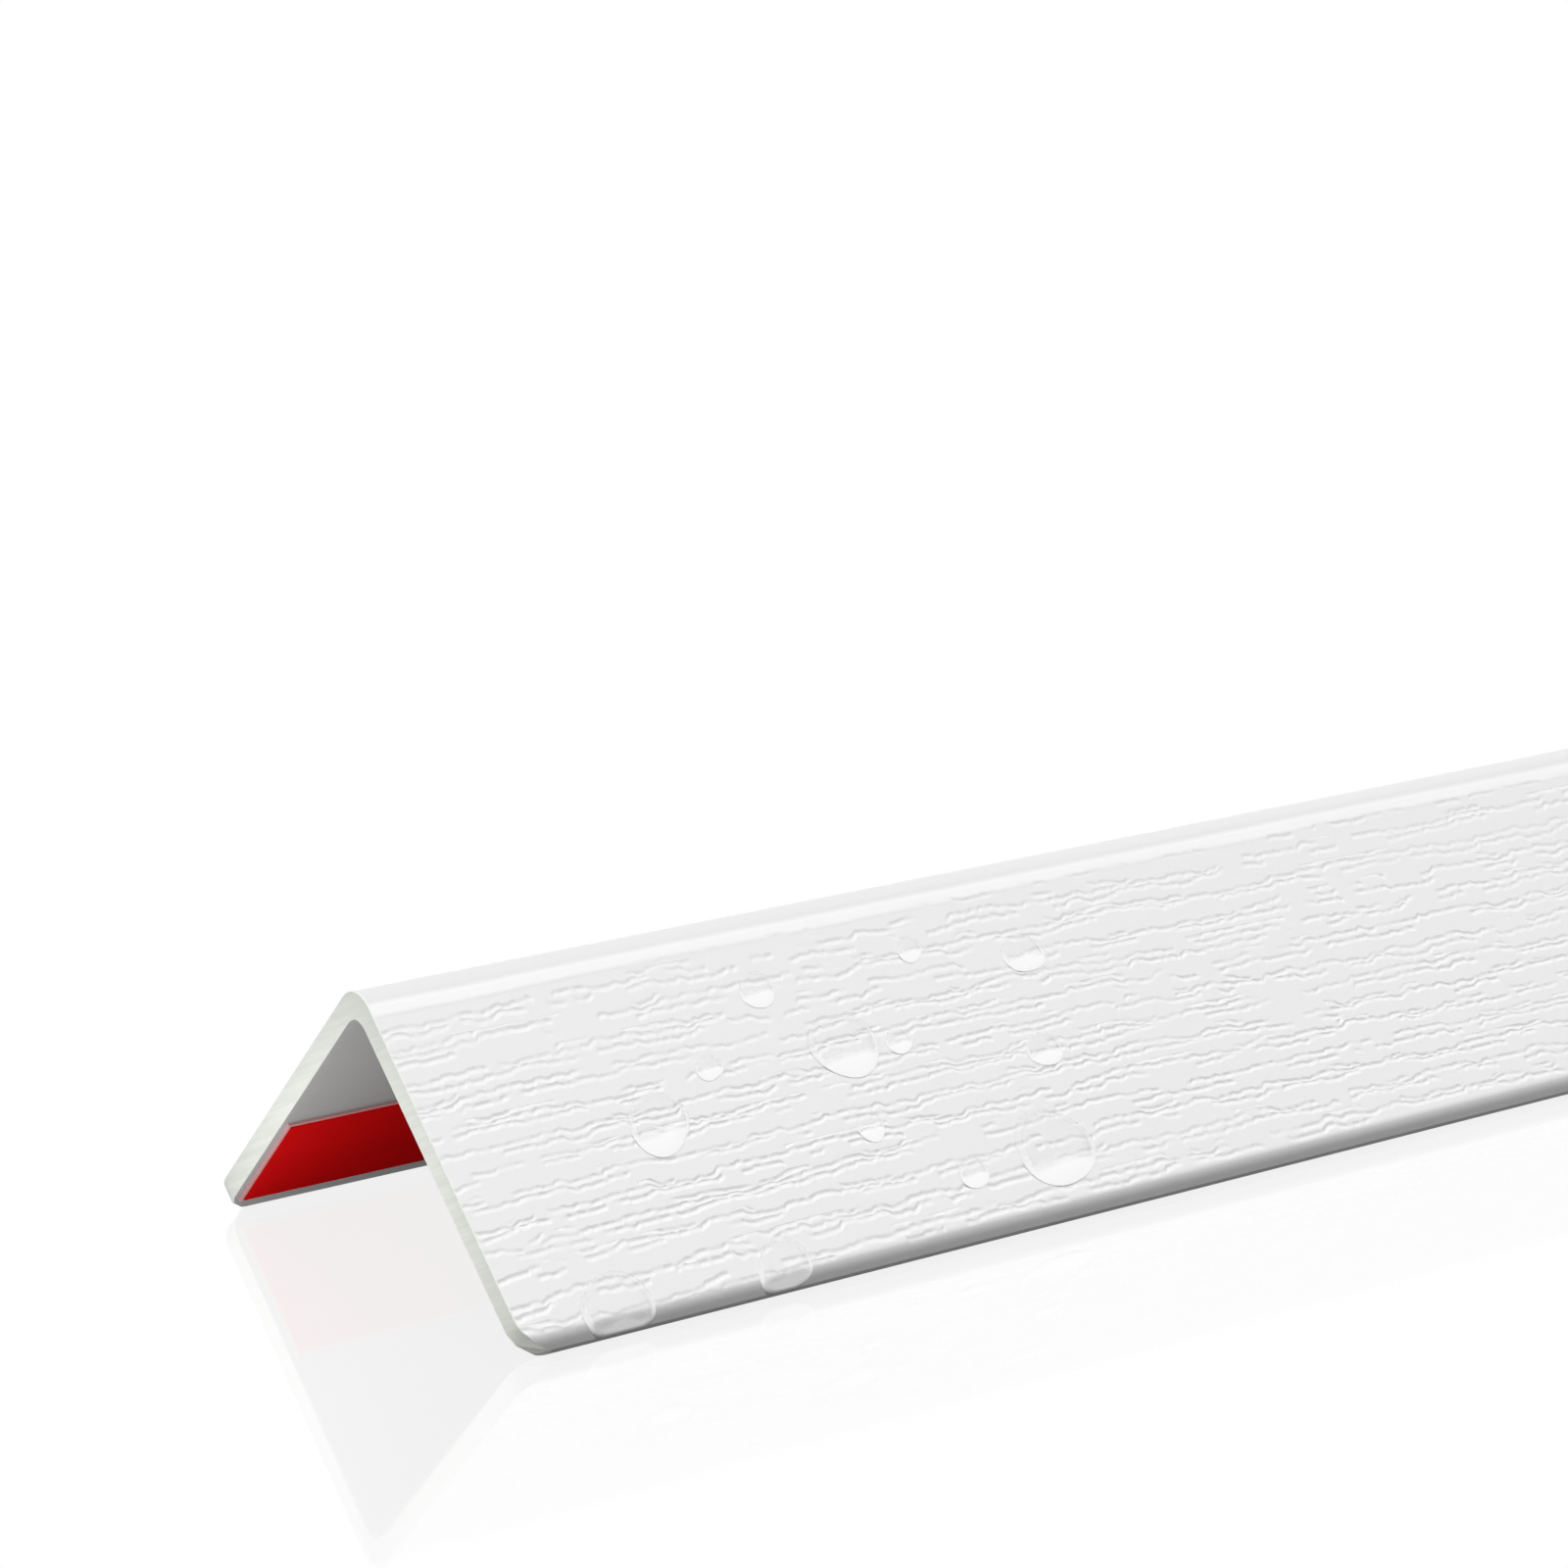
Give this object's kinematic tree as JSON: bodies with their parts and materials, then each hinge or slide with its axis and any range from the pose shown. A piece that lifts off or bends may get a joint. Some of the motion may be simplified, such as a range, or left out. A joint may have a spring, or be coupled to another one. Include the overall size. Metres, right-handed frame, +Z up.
{
  "type": "corner guard moulding",
  "caption": "White plastic corner guard with equal legs, a rounded ridge, rounded leg ends, a wood-grain outside and a taped inside.",
  "frame": {"origin": "on the floor under the ridge, at the middle of the length", "axes": "+X along the moulding, +Z up through the ridge, +Y towards the leg with the tape; the guard stands on the free edges of its two legs"},
  "size_m": [0.6, 0.0414, 0.0213],
  "materials": {
    "embossed_pvc": "satin, embossed with fine wood grain outside and smooth inside",
    "tape_adhesive": "soft translucent adhesive, seen only along its edges",
    "liner_film": "smooth semi-gloss film"
  },
  "bodies": {
    "root": {"corner_profile": "embossed_pvc", "adhesive_tape": "tape_adhesive", "release_liner": "liner_film"}
  },
  "joints": []
}
